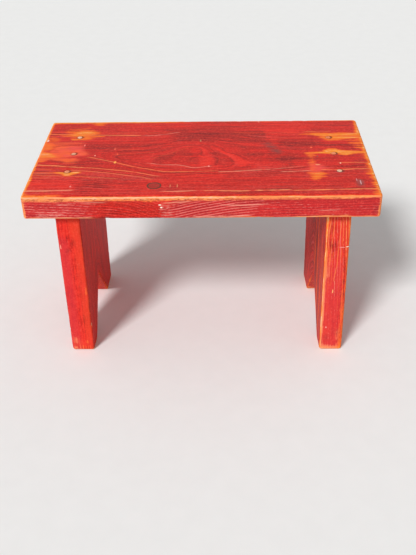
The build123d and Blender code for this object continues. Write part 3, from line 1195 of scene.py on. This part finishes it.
def leg_rings(leg, points, front):
    """Growth rings of a board sawn to one side of the heart, which leans and wavers on its way up."""
    back, inward, height = points.T
    heart_back = 118 + 10 * np.sin(height / 130 + leg.seed) + 0.03 * height * leg.side
    heart_in = -46 - 0.16 * height + 9 * np.sin(height / 95 + 2 * leg.seed)
    heart_in = heart_in if leg.side > 0 else LEG_THICKNESS - heart_in
    ring = np.hypot(back - heart_back, inward - heart_in) / LEG_RING_GAP
    ring = ring + 0.5 * noise(back / 22, inward / 22, height / 90 + leg.seed)
    leaning = inward - leg.slant * (height - 110) - 1.5 * noise(height / 90, 4.0, leg.seed)
    return ring * (1 - front) + (leaning / LEG_EDGE_RING_GAP + 60) * front


def leg_wear(leg, points, normal, front, inner_face):
    """Wear of a leg's edges, its feet and notch, and the worn patches painted on it."""
    back, inward, height = points.T
    outer, inner, to_back = inward, LEG_THICKNESS - inward, LEG_WIDTH - back
    over_notch = (back > FRONT_FOOT - 4) & (back < LEG_WIDTH - BACK_FOOT + 4)
    notch = np.where(over_notch, np.abs(height - notch_floor(back)) * 0.62, 99.0)
    ragged = 0.9 * noise(back / 14, inward / 14, height / 20 + leg.seed)
    ragged = ragged + 0.5 * noise(back / 4, inward / 4, height / 5 + leg.seed)
    patchy = np.clip(0.68 + 0.55 * noise(back / 30, inward / 30, height / 34 + leg.seed), 0, 1)
    inner_edge = leg.front_inner_edge * (1 + 0.2 * noise(height / 9, 7.0, leg.seed))
    edges = worn_edges(ragged, [
        (inner_edge, back, inner, (0.8, 0.7), (6.2, 1)),
        (leg.front_outer_edge, back, outer, (0.8, 0.7), (4.6, 1)),
        (1.1 * patchy, to_back, outer, (1.8, 1.4), (5.4, 1.6)),
        (patchy, to_back, inner, (1.8, 1.4), (5.4, 1.6)),
        (leg.front_foot_edge, back, height, (2.4, 1), (7.5, 1)),
        (0.9, to_back, height, (2.6, 1), (6.5, 1)),
        (leg.foot_side_edges, outer, height, (2.4, 1), (6.0, 1)),
        (leg.foot_side_edges, inner, height, (2.4, 1), (6.0, 1)),
        (0.7 * patchy, outer, notch, (1.2, 1), (4.0, 1)),
        (0.7 * patchy, inner, notch, (1.2, 1), (4.0, 1)),
    ])
    feet = 0.75 * smoothstep(0.5, 0.9, -normal[:, 2]) * smoothstep(12, 4, height)
    sawn_notch = 0.2 * smoothstep(0.25, 0.5, -normal[:, 2]) * (height > 6) * (notch < 8)
    on_front = front * painted(inward, height, leg.front_worn)
    on_inner_face = inner_face * painted(back, height, leg.inner_worn)
    return np.maximum.reduce([edges, feet, sawn_notch, on_front, on_inner_face])


def leg_fields(leg, points, normal):
    """The growth rings and the fields of a leg's wood, but for those that follow its final places."""
    back, inward, height = points.T
    front = smoothstep(0.5, 0.95, -normal[:, 0])
    inner_face = smoothstep(0.6, 0.9, normal[:, 1])
    tone, warm, blush, ridged = leg.front_colour(inward, height)
    blotches = noise(inward / 6, height / 9, leg.seed) + noise(inward / 3, height / 8, leg.seed + 5)
    front_tone = 0.16 + tone + painted(inward, height, leg.front_tone) + 0.22 * blotches
    inner_tone = painted(back, height, leg.inner_tone)
    on_front, on_inner_face = (front > 0.5)[:, None], (normal[:, 1] > 0.8)[:, None]
    lines_a = thin_lines(height, inward, leg.front_lines_a) * on_front
    lines_a = lines_a + thin_lines(height, back, leg.inner_lines) * on_inner_face
    lines_b = thin_lines(height, inward, leg.front_lines_b) * on_front
    finer = (1.5, 1, 1)  # longer distances make a leg's lines thinner than the seat's
    return {
        "ring": leg_rings(leg, points, front),
        "worn": leg_wear(leg, points, normal, front, inner_face),
        # the last term is painted shade on the faces that look down: the feet and the sawn faces of the notch
        "tone": front * front_tone + inner_face * inner_tone - 0.2 * smoothstep(0.5, 0.9, -normal[:, 2]),
        "warm": 0.1 + front * warm,
        "raised": 0.15 + front * leg.front_raised,
        "ridged": front * ridged + inner_face * leg.inner_ridged,
        "blush": front * (blush + painted(inward, height, leg.front_blush)),
        "lines_a": lines_a * finer,
        "lines_b": lines_b * finer,
    }


def leg_relief(leg, points, normal, ring):
    """How far in the wood has gone: ridges of late wood, uneven edges, and dents."""
    back, inward, height = points.T
    flat = smoothstep(0.9, 1.0, np.abs(normal).max(1))
    relief = 0.08 * smoothstep(0.9, 0.3, ring % 1)
    relief += 0.12 * (1 + noise(back / 50, inward / 50, height / 80 + leg.seed))
    relief += 0.3 * (1 - flat) * (1 + noise(back / 12, inward / 12, height / 16 + leg.seed))
    for _ in range(16):
        spot = [rng.choice([0.0, LEG_WIDTH]), rng.choice([0.0, LEG_THICKNESS]), rng.uniform(5, 260)]
        relief += dent(points, spot, rng.uniform(2.5, 6), rng.uniform(0.3, 0.9))
    return relief * smoothstep(LEG_HEIGHT + 0.1, LEG_HEIGHT - 3, height)


def make_leg(name, leg):
    points, normal, at_top, quads = leg_grid()
    fields = leg_fields(leg, points, normal)
    ring = fields.pop("ring")
    points = points - normal * leg_relief(leg, points, normal, ring)[:, None]
    points[at_top, 2] = LEG_HEIGHT
    points[:, 2] = np.clip(points[:, 2], 0, LEG_HEIGHT)

    back, inward, height = points.T
    on_edge = np.abs(normal[:, 0]) > 0.7
    ends = smoothstep(0.6, 0.9, np.abs(normal[:, 2]))
    fields["grain"] = np.column_stack([height * (1 - ends), ring, np.where(on_edge, back, inward)])
    fields["across"] = np.where(on_edge, inward, back)
    fields.update(dict.fromkeys(("scuff", "crushed_and_shade", "flecked"), np.zeros(len(points))))
    outwards, backwards, rise, corner = leg.frame()
    world = corner + points @ np.array([backwards, -outwards, rise / LEG_HEIGHT])
    material = wood(f"{name}_leg_wood", [], leg.nicks, leg.seed)
    board = new_mesh(f"{name}_leg_board", world, quads, material, fields)
    if leg.side > 0:
        board.data.flip_normals()
    return board


# ---------------------------------------------------------------- nails

NAIL_PROFILE = [  # radius, and down from the head's top
    (0.9, 0.02), (1.8, 0.06), (2.7, 0.13), (3.4, 0.24), (3.9, 0.42), (4.2, 0.7), (HEAD_RADIUS, 1.0),
    (4.25, 1.4), (4.0, 1.75), (3.2, 1.8), (SHANK_RADIUS, 1.85), (SHANK_RADIUS, 12.0), (SHANK_RADIUS, 48.0),
    (SHANK_RADIUS, 82.0), (1.5, 85.0), (0.7, 87.6),
]
NAIL_SIDES = 40
HEAD_DIP = 0.16  # keeps a skewed head below the top of the CAD part's nail


def make_nail(name, place, stain, metal):
    """A hammered head, domed and a little out of round, on its shank and point."""
    skew = rng.uniform(-0.035, 0.035, 2)
    lumps, lump_sizes = rng.uniform(-2.4, 2.4, (3, 2)), rng.uniform(0.8, 1.6, 3)
    shift = rng.uniform(0, 30)

    angles = np.linspace(0, 2 * np.pi, NAIL_SIDES, endpoint=False)
    radius, down = np.array(NAIL_PROFILE).T[:, :, None]
    head = down < 2
    out_of_round = 1 + 0.035 * head * noise(np.cos(angles) * 1.2 + shift, np.sin(angles) * 1.2, 0.5)
    x, y = radius * out_of_round * np.cos(angles), radius * out_of_round * np.sin(angles)
    beaten = skew[0] * x + skew[1] * y + HEAD_DIP
    for (lump_x, lump_y), size in zip(lumps, lump_sizes):
        beaten = beaten + 0.14 * np.exp(-((x - lump_x) ** 2 + (y - lump_y) ** 2) / size**2)
    depth = down + head * beaten
    rim = np.where(head, np.minimum(1, radius / HEAD_RADIUS) ** 6, 1)

    points = np.column_stack([x.ravel(), y.ravel(), -depth.ravel()])
    points = np.vstack([points, [(0, 0, -HEAD_DIP), (0, 0, -NAIL_LENGTH)]]) + (*place, SEAT_Z - HEAD_SINK)
    top, tip = len(points) - 2, len(points) - 1
    last = top - NAIL_SIDES
    around = [(i, (i + 1) % NAIL_SIDES) for i in range(NAIL_SIDES)]
    faces = [(top, i, j) for i, j in around]
    for ring in range(0, last, NAIL_SIDES):
        below = ring + NAIL_SIDES
        faces += [(ring + i, below + i, below + j, ring + j) for i, j in around]
    faces += [(last + i, tip, last + j) for i, j in around]
    rims = np.append(np.repeat(rim, NAIL_SIDES), [0.0, 1.0])
    fields = {"rim": rims, "stained": np.full(len(points), stain)}
    return new_mesh(name, points, faces, metal, fields)


# ---------------------------------------------------------------- the bench

seat = make_seat()
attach(seat, "root")
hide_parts("top_plank")

for leg_name, leg in LEGS.items():
    board = make_leg(leg_name, leg)
    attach(board, "root")
    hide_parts(f"{leg_name}_leg")

nail_metal = steel()
head_stains = [stain for leg in LEGS.values() for stain in leg.head_stain]
for (nail_name, nail_place), stain in zip(nail_places.items(), head_stains):
    nail = make_nail(f"{nail_name}_worn", nail_place, stain, nail_metal)
    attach(nail, "root")
    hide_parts(nail_name)

# ---------------------------------------------------------------- floor, light and camera

FLOOR_REACH = 8000.0
KEY_FROM = Vector((-0.55, -0.9, 1.0))  # high on the front left
FILL_STRENGTH = 0.44  # of the even light from all round

# The photograph's camera
FOCAL_PIXELS = 766.0
PICTURE_HEIGHT = 555.0  # pixels
SENSOR = 36.0
CAMERA_PLACE = (0.03136, -1.16568, 0.8667)  # metres
YAW, PITCH, ROLL = (math.radians(angle) for angle in (-1.258, 34.48, 0.977))


def make_floor():
    n = Nodes(bpy.data.materials.new("floor"))
    colour = n.mix(n.noise(n.object_place(), 30.0, 4.0), (0.80, 0.80, 0.79), (0.84, 0.84, 0.83))
    material = n.surface({"Base Color": colour, "Roughness": 0.9, "Specular IOR Level": 0.1})
    corners = [(FLOOR_REACH * x, FLOOR_REACH * y, 0) for x, y in ((-1, -1), (1, -1), (1, 1), (-1, 1))]
    return new_mesh("floor", corners, [(0, 1, 2, 3)], material, {})


def make_world():
    """Even light from all round, which the camera, metal and glass see as plain white."""
    n = Nodes(bpy.data.worlds.new("studio"))
    rays = n.add("ShaderNodeLightPath").outputs
    seen = n.maths("MAXIMUM", rays["Is Camera Ray"], rays["Is Glossy Ray"])
    seen = n.maths("MAXIMUM", seen, rays["Is Transmission Ray"])
    strength = n.add("ShaderNodeMapRange", {"Value": seen, "To Min": FILL_STRENGTH, "To Max": 1.0}).outputs[0]
    background = n.add("ShaderNodeBackground", {"Color": (1.0, 1.0, 1.0, 1.0), "Strength": strength})
    n.add("ShaderNodeOutputWorld", {0: background.outputs[0]})
    return n.owner


def make_key():
    key_data = bpy.data.lights.new("key", "SUN")
    key_data.energy = 2.6
    key_data.angle = math.radians(14)
    key = in_scene("key", key_data)
    key.rotation_euler = KEY_FROM.to_track_quat("Z", "Y").to_euler()


def make_camera():
    camera_data = bpy.data.cameras.new("camera")
    camera_data.sensor_width = SENSOR
    camera_data.lens = FOCAL_PIXELS * SENSOR / PICTURE_HEIGHT
    camera_data.clip_start = 0.05
    tilt = Matrix.Rotation(math.pi / 2 - PITCH, 4, "X") @ Matrix.Rotation(-ROLL, 4, "Z")
    camera = in_scene("camera", camera_data)
    camera.matrix_world = Matrix.Translation(CAMERA_PLACE) @ Matrix.Rotation(-YAW, 4, "Z") @ tilt
    return camera


make_floor()
make_key()
bpy.context.scene.world = make_world()
bpy.context.scene.camera = make_camera()
bpy.context.scene.view_settings.view_transform = "Standard"
